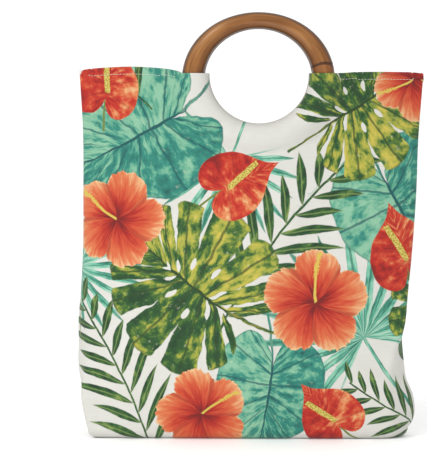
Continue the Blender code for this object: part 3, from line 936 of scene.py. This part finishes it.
def sprigGroup():
    tree, x, y, inside, tint = startMotif("bamboo sprig", sprig["wobble"])
    side = x.size()
    right = x.rise(-0.001, 0.001)
    rising = y - side * sprig["slope"] + side * side * sprig["droop"]
    lane = (rising + 2.0) * sprig["leaves"] + right * 0.5
    phase = lane.part() - 0.5
    number = lane.whole()
    chance = ((number + right * 3.7) * 0.618).part()
    taper = y.fall(0.10, 0.62) * 0.65 + 0.35
    along = side / ((chance * 0.45 + 0.62) * taper * sprig["length"])
    reached = along.least(1.0)
    width = (reached.power(0.8) * math.pi).sine() * (-reached * 0.35 + 1.0) * sprig["width"]
    leaf = (width - phase.size()).rise(0.0, 0.06) * along.fall(0.96, 1.0)
    leaf = leaf * number.rise(sprig["first"] - 0.8, sprig["first"] - 0.2)
    leaf = leaf * (number - right).fall(sprig["last"] + 0.2, sprig["last"] + 0.8)
    stem = side.fall(*sprig["stem"]) * y.rise(*sprig["stemEnd"]) * y.fall(*sprig["stemTop"])
    marks = brushMarks(tree, lane * 1.7, side * 16.0, tint * 2.0, 1.5)
    rib = (phase + 0.02).size().fall(0.02, 0.06) * 0.6
    colour = colourOver(rib, marks.tones(printTones["sprig"]), "sprigRib")
    return endMotif(tree, colour, leaf.most(stem), inside)


# Five broad ruffled petals round a dark throat, with a long beaded pistil
hibiscus = {"wobble": 0.030, "petals": 5.0, "twist": 0.35, "ruffle": 0.10, "reach": 0.475, "notch": 0.24,
            "pistil": (0.010, 0.016), "beads": (0.024, 0.034), "beadsFrom": (0.20, 0.24)}


def hibiscusGroup():
    tree, x, y, inside, tint = startMotif("hibiscus", hibiscus["wobble"])
    rho = (x * x + y * y).root()
    petals = x.math("ARCTAN2", y) / (2 * math.pi) * hibiscus["petals"]
    lane = petals + 10.0 + rho * hibiscus["twist"]
    phase = lane.part() - 0.5
    ruffle = (cloud(join(tree, lane * 2.0, tint), 5.0, 2.0, 0.6) - 0.5) * hibiscus["ruffle"]
    limit = -((phase.size() * 2.0).power(2.6)) * hibiscus["notch"] + 1.0
    limit = limit * hibiscus["reach"] + ruffle
    streak = cloud(join(tree, lane * 6.0, rho * 2.2, tint), 2.2, 3.0, 0.65)
    colour = (rho * 1.5 + (streak - 0.5) * 0.75 + phase * 0.16).tones(printTones["hibiscus"])
    fold = phase.rise(0.34, 0.50) * rho.rise(0.10, 0.2) * 0.55
    colour = colourOver(fold, colour, "petalFold")
    lip = (limit - rho).fall(0.006, 0.030) * streak.rise(0.40, 0.62) * 0.8
    colour = colourOver(lip, colour, "petalLip")
    sway = (x - y * 0.35 - y * y * 0.5).size()
    pistil = sway.fall(*hibiscus["pistil"]) * y.rise(0.0, 0.01) * y.fall(0.38, 0.40)
    beads = sway.fall(*hibiscus["beads"]) * y.rise(*hibiscus["beadsFrom"]) * y.fall(0.38, 0.41)
    beads = beads * cloud(join(tree, x, y), 34.0, 1.0, 0.5).rise(0.46, 0.54)
    colour = colourOver(pistil.most(beads), colour, "pistil")
    return endMotif(tree, colour, (limit - rho).rise(0.0, 0.010).most(beads), inside)


# One glossy heart of a bract, with a yellow spike rising from it
anthurium = {"wobble": 0.020, "fan": 1.5, "foot": 0.16, "spikeLean": 0.28, "spike": 0.034,
             "stalkBend": 0.3, "stalkEdges": (0.010, 0.016)}


def anthuriumGroup():
    tree, x, y, inside, tint = startMotif("anthurium", anthurium["wobble"])
    rho, turn = polar(x, y)
    leaf = (turn.curve(outlines["anthurium"]) - rho).rise(0.0, 0.012)
    spread = x.size() + anthurium["foot"]
    lane = (y / spread + 6.0) * anthurium["fan"]
    marks = brushMarks(tree, lane, rho * 3.0, tint * 2.0, 2.2)
    colour = (marks + x * 0.25).tones(printTones["anthurium"])
    veins = ((lane.part() - 0.5).size() * spread / anthurium["fan"]).fall(0.003, 0.009) * 0.5
    colour = colourOver(veins, colour, "bractVein")
    spine = (x + y * anthurium["spikeLean"]).size()
    thick = (-(y * 1.9 - 0.28).power(2.0) + 1.0).most(0.0) * anthurium["spike"]
    spike = (spine - thick).fall(0.0, 0.008) * y.rise(-0.06, -0.04) * y.fall(0.38, 0.40)
    dots = cloud(join(tree, x, y), 46.0, 1.0, 0.5)
    colour = over(spike, colour, dots.tones(printTones["spike"]))
    stalk = stalkMask(x, y, anthurium["stalkBend"], anthurium["stalkEdges"])
    colour = colourOver(stalk * (-leaf + 1.0), colour, "bractStalk")
    return endMotif(tree, colour, leaf.most(stalk).most(spike), inside)


def motifGroups():
    return {"fanPalm": fanPalmGroup(), "taro": heartLeafGroup("taro"), "sprig": sprigGroup(),
            "monstera": heartLeafGroup("monstera"), "hibiscus": hibiscusGroup(),
            "anthurium": anthuriumGroup()}


# How fine the clouds are that move the brush, tint its marks and vary the ground
printClouds = {"wander": 55.0, "tint": 9.0, "ground": 30.0}


def printGroup():
    # the whole print on its pale ground, from the places inside every motif
    takes = {motif + "Place": "vector" for motif in motifs}
    tree, given = startGroup("tropical print", {**takes, "ClothPlace": "vector"}, {"Colour": "colour"})
    cloth = given["ClothPlace"]
    wanderX, wanderY = split(cloud(cloth, printClouds["wander"], 3.0, 0.5, "Color"))[:2]
    brushes = join(tree, wanderX, wanderY, cloud(cloth, printClouds["tint"], 1.0, 0.5))
    colour = cloud(cloth, printClouds["ground"], 3.0, 0.6).tones(printTones["ground"])
    for motif, group in motifGroups().items():
        drawn = useGroup(tree, group, Place=given[motif + "Place"], Brush=brushes)
        colour = over(drawn["Mask"], colour, drawn["Colour"])
    return endGroup(tree, Colour=colour)


# Plain weave: threads that pass over and under each other, unevenly spun
weaveLook = {"uneven": 240.0, "sway": 0.5, "slubs": 160.0, "slubTone": 0.12, "threadTone": 0.035}


def weaveGroup():
    tree, given = startGroup("canvas weave", {"Place": "vector", "Thread": "value"},
                             {"Height": "value", "Tone": "value"})
    u, v = split(given["Place"])[:2]
    sway = cloud(given["Place"], weaveLook["uneven"], 2.0, 0.6) * weaveLook["sway"]
    wale = u / given["Thread"] + sway
    course = v / given["Thread"] + sway
    crossing = (wale * math.pi).sine() * (course * math.pi).sine()
    slub = cloud(join(tree, u * 0.25, v * 6.0), weaveLook["slubs"], 2.0, 0.6)
    tone = crossing * weaveLook["threadTone"] + (slub - 0.5) * weaveLook["slubTone"] + 1.0
    return endGroup(tree, Height=crossing * 0.5 + slub * 0.5, Tone=tone)


def attribute(tree, name):
    return makeNode(tree, "Attribute", "Vector", {}, attribute_type="GEOMETRY", attribute_name=name)


def objectPlace(tree):
    return makeNode(tree, "TexCoord", "Object", {})


finishSlots = {"roughness": "Roughness", "sheen": "Sheen Weight", "shine": "Specular IOR Level"}


def startMaterial(name, finish):
    material = bpy.data.materials.new(name)
    material.use_nodes = True
    shader = material.node_tree.nodes["Principled BSDF"]
    for key, slot in finishSlots.items():
        if key in finish:
            shader.inputs[slot].default_value = finish[key]
    return material, material.node_tree, shader


def endMaterial(material, finish, colour, height=None):
    tree = material.node_tree
    shader = tree.nodes["Principled BSDF"]
    feed(tree, colour, shader.inputs["Base Color"])
    if height:
        relief = {"Strength": finish["bump"], "Distance": finish["relief"], "Height": height}
        feed(tree, makeNode(tree, "Bump", "Normal", relief), shader.inputs["Normal"])
    return material


# The level darkens the whole print to the tone that it has on cloth
canvasFinish = {"level": 0.64, "thread": 0.00058, "roughness": 0.88, "sheen": 0.12, "showThrough": 0.22,
                "bump": 0.55, "relief": 0.00016, "mottle": 26.0, "ghost": 60.0,
                "plain": ((0.3, 208, 204, 188), (0.7, 220, 216, 202)),
                "reverse": ((0.3, 206, 203, 190), (0.7, 219, 216, 204))}


def mottled(place, tones):
    return cloud(place, canvasFinish["mottle"], 3.0, 0.6).tones(canvasFinish[tones])


def canvasMaterial(name, weave, printed, showThrough=0.0):
    # printed canvas, or its paler reverse where some of the print shows through
    material, tree, shader = startMaterial(name, canvasFinish)
    place = attribute(tree, "clothPlace")
    if printed is None:
        colour = mottled(place, "plain")
    else:
        fills = {motif + "Place": attribute(tree, motif + "Place") for motif in motifs}
        colour = useGroup(tree, printed, ClothPlace=place, **fills)["Colour"]
    if showThrough > 0.0:
        ghost = cloud(place, canvasFinish["ghost"], 2.0, 0.6) * showThrough
        colour = over(ghost, mottled(place, "reverse"), colour)
    threads = useGroup(tree, weave, Place=place, Thread=canvasFinish["thread"])
    level = threads["Tone"] * canvasFinish["level"]
    colour = over(1.0, colour, join(tree, level, level, level), "MULTIPLY")
    return endMaterial(material, canvasFinish, colour, threads["Height"])


# The cane: painted shade darkens its rims and the side of the tube that faces into the ring; it has a dark
# scar at each joint and a stain under it
caneFinish = {
    "roughness": 0.23, "fibreRoughness": 0.12, "scarRoughness": 0.2, "shine": 0.22,
    "bump": 0.25, "relief": 0.0004, "fibres": 420.0, "streaks": 120.0, "clouds": 24.0, "ragged": 0.0010,
    "tones": ((0.30, 92, 54, 24), (0.42, 112, 69, 33), (0.52, 131, 86, 45), (0.64, 154, 108, 62)),
    # rim and inner are painted shade: dark brown on the tube's edges and on its side facing into the ring
    "rim": (0.88, (52, 29, 12)), "inner": (0.42, (88, 52, 24)), "stain": (0.35, (128, 74, 40)),
    "scar": (0.88, (58, 32, 15)), "scarReach": (0.0009, 0.0026), "stainReach": (-0.045, -0.002),
    "rimShadeReach": (0.55, 0.97), "innerShadeReach": (0.05, 0.75),
}
caneJoints = (192.5, 76.0)  # degrees round the ring, 0 at its left, growing downwards


def caneMaterial():
    material, tree, shader = startMaterial("varnished cane", caneFinish)
    grain = attribute(tree, "caneGrain")
    away, outwards = split(attribute(tree, "caneJointAndShade"))[:2]
    a, b, along = split(grain)
    fibres = cloud(join(tree, a, b, along * 0.05), caneFinish["fibres"], 4.0, 0.65)
    streaks = cloud(join(tree, a, b, along * 0.10), caneFinish["streaks"], 3.0, 0.6)
    clouds = cloud(grain, caneFinish["clouds"], 2.0, 0.5)
    # broad random clouds of tone, laid the other way up so that the ring's top is paler and its right
    # darker: partly painted light
    colour = (streaks * 0.5 + fibres * 0.2 + (-clouds + 1.0) * 0.3).tones(caneFinish["tones"])
    ragged = away + (fibres - 0.5) * caneFinish["ragged"]
    scar = ragged.size().fall(*caneFinish["scarReach"])
    # rim and inner paint shade onto the tube's edges and its inner side; stain and scar are the cane's own
    # marks
    shadeAndMarkMasks = {"rim": outwards.size().rise(*caneFinish["rimShadeReach"]),
             "inner": (-outwards).rise(*caneFinish["innerShadeReach"]),
             "stain": ragged.rise(*caneFinish["stainReach"]) * ragged.fall(0.0, 0.001), "scar": scar}
    for layer, mask in shadeAndMarkMasks.items():
        strength, shade = caneFinish[layer]
        colour = over(mask * strength, colour, paint(*shade))
    roughness = fibres * caneFinish["fibreRoughness"] + scar * caneFinish["scarRoughness"]
    feed(tree, roughness + caneFinish["roughness"], shader.inputs["Roughness"])
    return endMaterial(material, caneFinish, colour, fibres * 0.5 + streaks * 0.5)


threadFinish = {"roughness": 0.7, "sheen": 0.2, "bump": 0.4, "relief": 0.0001, "plies": 9000.0, "lean": 0.6,
                "tones": ((0.3, 184, 186, 168), (0.7, 206, 207, 190))}
floorFinish = {"roughness": 0.6, "tones": ((0.3, 249, 249, 249), (0.7, 252, 252, 252))}


def threadMaterial():
    material, tree, shader = startMaterial("stitching thread", threadFinish)
    place = objectPlace(tree)
    parts = split(place)
    ply = ((parts[0] * threadFinish["lean"] + parts[2]) * threadFinish["plies"]).sine()
    colour = cloud(place, 300.0, 2.0, 0.5).tones(threadFinish["tones"])
    return endMaterial(material, threadFinish, colour, ply)


def floorMaterial():
    material, tree, shader = startMaterial("studio floor", floorFinish)
    colour = cloud(objectPlace(tree), 1.5, 2.0, 0.5).tones(floorFinish["tones"])
    return endMaterial(material, floorFinish, colour)


weave = weaveGroup()
tropical = printGroup()
finishes = {
    "print": canvasMaterial("printed canvas", weave, tropical),
    "reverse": canvasMaterial("canvas reverse", weave, tropical, canvasFinish["showThrough"]),
    "plain": canvasMaterial("plain canvas", weave, None),
    "cane": caneMaterial(),
    "thread": threadMaterial(),
}
print("finishes made")


def mirror(mesh):
    # from the front of the bag to its back
    bmesh.ops.scale(mesh, vec=(1, -1, 1), verts=mesh.verts)
    bmesh.ops.reverse_faces(mesh, faces=mesh.faces)


def finishPiece(name, mesh, materials):
    # turns a bmesh into a piece that rides on the bag's one body
    bmesh.ops.translate(mesh, verts=mesh.verts, vec=bagShift)
    data = meshData(name, mesh)
    data.shade_smooth()
    for material in materials:
        data.materials.append(material)
    piece = addObject(name, data)
    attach(piece, "root")
    return piece


def finishCloth(name, mesh, side, outward, materials, thickness):
    # faces outwards, mirrored for the back, then given the cloth's thickness on its outer side
    for vert in mesh.verts:
        vert.co.z += hemLift(vert.co.x, vert.co.z)
    bmesh.ops.recalc_face_normals(mesh, faces=mesh.faces)
    heading = sum((face.normal * face.calc_area() for face in mesh.faces), Vector())
    if heading.dot(outward) < 0:
        bmesh.ops.reverse_faces(mesh, faces=mesh.faces)
    if side == "back":
        mirror(mesh)
    piece = finishPiece(name, mesh, materials)
    layPrint(piece.data, side)
    wall = piece.modifiers.new("cloth", "SOLIDIFY")
    wall.thickness = thickness
    wall.offset = 1.0
    wall.use_quality_normals = True
    wall.material_offset = 1
    wall.material_offset_rim = 1
    rounded = piece.modifiers.new("soft edges", "BEVEL")
    rounded.width = bag["edgeRound"]
    rounded.segments = 2
    rounded.limit_method = "ANGLE"
    rounded.angle_limit = bag["edgeAngle"]
    return piece


def makeCloth():
    forward = Vector((0, -1, 0))
    pieces = {}
    for side in ("front", "back"):
        panel = finishCloth(side + "Canvas", panelMesh(side), side, forward,
                            (finishes["print"], finishes["reverse"]), bag["cloth"])
        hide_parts(side + "_panel")
        facing = finishCloth(side + "Facing", facingMesh(side), side, -forward,
                             (finishes["plain"], finishes["plain"]), bag["cloth"])
        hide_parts(side + "_handle_facing")
        pieces[side + "Canvas"] = panel
        pieces[side + "Facing"] = facing
        print(side, "cloth made")
    base = finishCloth("baseCanvas", baseMesh(), "front", Vector((0, 0, -1)),
                       (finishes["print"], finishes["reverse"]), bag["baseThickness"])
    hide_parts("base_panel")
    pieces["baseCanvas"] = base
    return pieces


# Each ring is one length of cane bent round, with a raised, dark joint where the cane grew its leaves
caneRing = {"segments": 400, "sides": 28, "waver": 0.012, "wavers": 2.2, "ridge": 0.022, "groove": 0.045,
            "ridgeReach": 0.0035, "grooveReach": 0.0009, "bow": 0.0034, "skew": -0.0016}


def makeRing(side):
    # a plain torus first, its tube one unit thick, and then every vert goes to its place on the cane
    mesh = bmesh.new()
    grain = mesh.verts.layers.float_vector.new("caneGrain")
    jointAndShade = mesh.verts.layers.float_vector.new("caneJointAndShade")
    away = 3.0
    bmesh.ops.create_circle(mesh, segments=caneRing["sides"], radius=1.0,
                            matrix=Matrix.Translation((away, 0, 0)))
    bmesh.ops.spin(mesh, geom=mesh.verts[:] + mesh.edges[:], cent=(0, 0, 0), axis=(0, 1, 0),
                   dvec=(0, 0, 0), angle=2 * math.pi, steps=caneRing["segments"], use_merge=True)
    meanRadius = (ring["halfWidth"] + ring["halfHeight"]) / 2
    for vert in mesh.verts:
        turn = math.atan2(-vert.co.z, -vert.co.x)
        outwards = math.hypot(vert.co.x, vert.co.z) - away
        sideways = vert.co.y
        radius = tubeRadius(turn)
        heading = Vector((math.cos(turn), math.sin(turn), 0.4))
        radius *= 1 + caneRing["waver"] * noise.noise(heading * caneRing["wavers"])
        nearest = 1.0
        for joint in caneJoints:
            gap = (turn - math.radians(joint) + math.pi) % (2 * math.pi) - math.pi
            fromJoint = gap * meanRadius - caneRing["skew"] * outwards
            fromJoint -= caneRing["bow"] * (1 - outwards * outwards)
            radius *= 1 + caneRing["ridge"] * math.exp(-(fromJoint / caneRing["ridgeReach"]) ** 2)
            radius *= 1 - caneRing["groove"] * math.exp(-(fromJoint / caneRing["grooveReach"]) ** 2)
            if abs(fromJoint) < abs(nearest):
                nearest = fromJoint
        place = ringPoint(turn) + ringOutward(turn) * radius * outwards
        vert.co = Vector((place.x, radius * sideways - ringDepth(place.y), place.y))
        along = ((turn - quarterTurn) % (2 * math.pi)) * meanRadius
        vert[grain] = (outwards * radius, sideways * radius, along)
        # the second value, across the tube, places the painted shade on the cane's rims and inner side
        vert[jointAndShade] = (nearest, outwards, 0.0)
    bmesh.ops.recalc_face_normals(mesh, faces=mesh.faces)
    if side == "back":
        mirror(mesh)
    piece = finishPiece(side + "Ring", mesh, (finishes["cane"],))
    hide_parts(side + "_ring_handle")
    return piece


# Topstitching along the hems, beside the rings
stitch = {"belowHem": 0.0072, "length": 0.0029, "step": 0.0037, "thick": 0.00028, "sunk": 0.00010,
          "fromRing": 0.0040, "fromSeam": 0.0008, "slant": 0.00018, "sides": 6, "parts": 5,
          "bulge": 1.1, "thinEnd": 0.55, "probe": 0.002, "seed": {"front": 17, "back": 29}}


def besideCane(x, height, side):
    # a point of the inner face outside the cane, where the casing still slopes down from it
    point = facePoint(x, height, side)[0]
    if abs(x - ring["centreX"]) > ring["halfWidth"] + (1 + casing["reach"]) * ring["tubeAtSide"]:
        return point
    place = Vector((x, height))
    turn = 0.0 if x < ring["centreX"] else math.pi
    for nearing in range(8):
        heading = Vector((ring["halfWidth"] * math.sin(turn), -ring["halfHeight"] * math.cos(turn)))
        turn += (place - ringPoint(turn)).dot(heading) / heading.length_squared
    reach = tubeRadius(turn) + casing["clearance"]
    step = (place - ringPoint(turn)).dot(ringOutward(turn)) / reach
    point.y = mix(point.y, -ringDepth(height) - reach - bag["gap"] / 2, tailLift(step))
    return point


def hemSurface(x, height, side):
    # a point on the printed side of the cloth near the hem, as it lies in the finished bag
    probe = stitch["probe"]
    place, ahead, below = (besideCane(*near, side)
                           for near in ((x, height), (x + probe, height), (x, height - probe)))
    out = (ahead - place).cross(below - place).normalized()
    if out.y > 0:
        out = -out
    place = place + out * bag["cloth"]
    place.z += hemLift(place.x, height)
    if side == "back":
        place.y, out.y = -place.y, -out.y
    return place, out


def stitchShape():
    # one stitch as a plain rod along X, a unit long and thick, cut across so that it can bend
    mesh = bmesh.new()
    bmesh.ops.create_cone(mesh, cap_ends=True, segments=stitch["sides"], radius1=1.0, radius2=1.0,
                          depth=1.0, matrix=Matrix.Rotation(math.pi / 2, 4, "Y"))
    lengthways = [edge for edge in mesh.edges if abs(edge.verts[0].co.x - edge.verts[1].co.x) > 0.5]
    bmesh.ops.subdivide_edges(mesh, edges=lengthways, cuts=stitch["parts"] - 1)
    return meshData("stitchShape", mesh)


def makeStitches(side):
    chance = random.Random(stitch["seed"][side])
    rod = stitchShape()
    mesh = bmesh.new()
    height = bag["hemHeight"] - stitch["belowHem"]
    section = Section(height)
    ringReach = ring["halfWidth"] + ring["tubeAtSide"] + stitch["fromRing"]
    runs = ((section.creases[0].x + stitch["fromSeam"], ring["centreX"] - ringReach),
            (ring["centreX"] + ringReach, section.creases[1].x - stitch["fromSeam"]))
    for start, stop in runs:
        for number in range(int((stop - start) / stitch["step"])):
            x = start + number * stitch["step"]
            slant = chance.uniform(-stitch["slant"], stitch["slant"])
            first = len(mesh.verts)
            mesh.from_mesh(rod)
            mesh.verts.ensure_lookup_table()
            for vert in mesh.verts[first:]:
                along, a, b = vert.co.x + 0.5, vert.co.y, vert.co.z
                lean = slant * (along * 2 - 1)
                base, out = hemSurface(x + along * stitch["length"], height + lean, side)
                bulge = math.sin(math.pi * along)
                thick = stitch["thick"] * mix(stitch["thinEnd"], 1.0, bulge)
                base = base + out * (stitch["thick"] * stitch["bulge"] * bulge - stitch["sunk"])
                vert.co = base + out * a * thick + Vector((0, 0, 1)) * b * thick
    bpy.data.meshes.remove(rod)
    bmesh.ops.recalc_face_normals(mesh, faces=mesh.faces)
    return finishPiece(side + "HemStitches", mesh, (finishes["thread"],))


# The rolled bit of cloth where both hems meet at a side seam
hemCorner = {"halfWidth": (0.0022, 0.0027), "halfDepth": 0.0036, "halfHeight": (0.0050, 0.0056),
             "below": 0.0052, "in": (0.0040, 0.0026), "around": 24, "rings": 16, "boxy": 0.72,
             "ripple": 0.06, "ripples": 2.5, "printIn": 0.014, "printWide": 0.003}


def makeHemCorner(end):
    mesh = bmesh.new()
    onCloth = mesh.verts.layers.float_vector.new("clothPlace")
    bmesh.ops.create_uvsphere(mesh, u_segments=hemCorner["around"], v_segments=hemCorner["rings"],
                              radius=1.0)
    seam = Section(bag["hemHeight"]).seams[end]
    sign = -1 if end == 0 else 1
    inwards, halfWidth, halfHeight = (hemCorner[name][end] for name in ("in", "halfWidth", "halfHeight"))
    middle = Vector((seam.x + sign * (bag["cloth"] - inwards), 0.0, bag["hemHeight"] - hemCorner["below"]))
    middle.z += hemLift(middle.x, middle.z)
    for vert in mesh.verts:
        unit = vert.co.copy()
        boxy = Vector([math.copysign(abs(c) ** hemCorner["boxy"], c) for c in unit])
        uneven = noise.noise(unit * hemCorner["ripples"] + Vector((end * 5.0, 0, 0)))
        vert.co = middle + Vector((boxy.x * halfWidth, boxy.y * hemCorner["halfDepth"],
                                   boxy.z * halfHeight)) * (1 + hemCorner["ripple"] * uneven)
        across = sign * (bag["halfWidth"] - hemCorner["printIn"]) + unit.x * hemCorner["printWide"]
        vert[onCloth] = (across, vert.co.z, 0.0)
    name = ("left" if end == 0 else "right") + "HemCorner"
    piece = finishPiece(name, mesh, (finishes["print"],))
    layPrint(piece.data, "front")


cloth = makeCloth()
rings = {side: makeRing(side) for side in ("front", "back")}
print("rings bent")
stitches = {side: makeStitches(side) for side in ("front", "back")}
for end in (0, 1):
    makeHemCorner(end)
print("hems stitched")


studio = {"floorSize": 30.0, "sky": (1.0, 1.0, 1.0), "skyStrength": 1.08}
lamps = {
    "key": {"place": (-0.16, -0.66, 0.05), "aim": (-0.02, 0.0, 0.0), "size": 0.5, "power": 2.4},
    "rim": {"place": (-0.9, -1.1, 1.9), "aim": (0.0, 0.0, 0.45), "size": 0.36, "power": 12.0},
}


def makeStudio():
    mesh = bmesh.new()
    bmesh.ops.create_grid(mesh, x_segments=1, y_segments=1, size=studio["floorSize"] / 2)
    data = meshData("studioFloor", mesh)
    data.materials.append(floorMaterial())
    floor = addObject("studioFloor", data)
    world = bpy.data.worlds.new("studio")
    world.use_nodes = True
    sky = world.node_tree.nodes["Background"]
    sky.inputs["Color"].default_value = (*studio["sky"], 1.0)
    sky.inputs["Strength"].default_value = studio["skyStrength"]
    bpy.context.scene.world = world
    for name, lamp in lamps.items():
        light = bpy.data.lights.new(name, "AREA")
        light.size = lamp["size"]
        light.energy = lamp["power"]
        holder = addObject(name, light, lamp["place"], lamp["aim"])
        holder.visible_camera = False
    bpy.context.scene.view_settings.view_transform = "Standard"
    bpy.context.scene.view_settings.look = "None"


makeStudio()
print("studio lit")
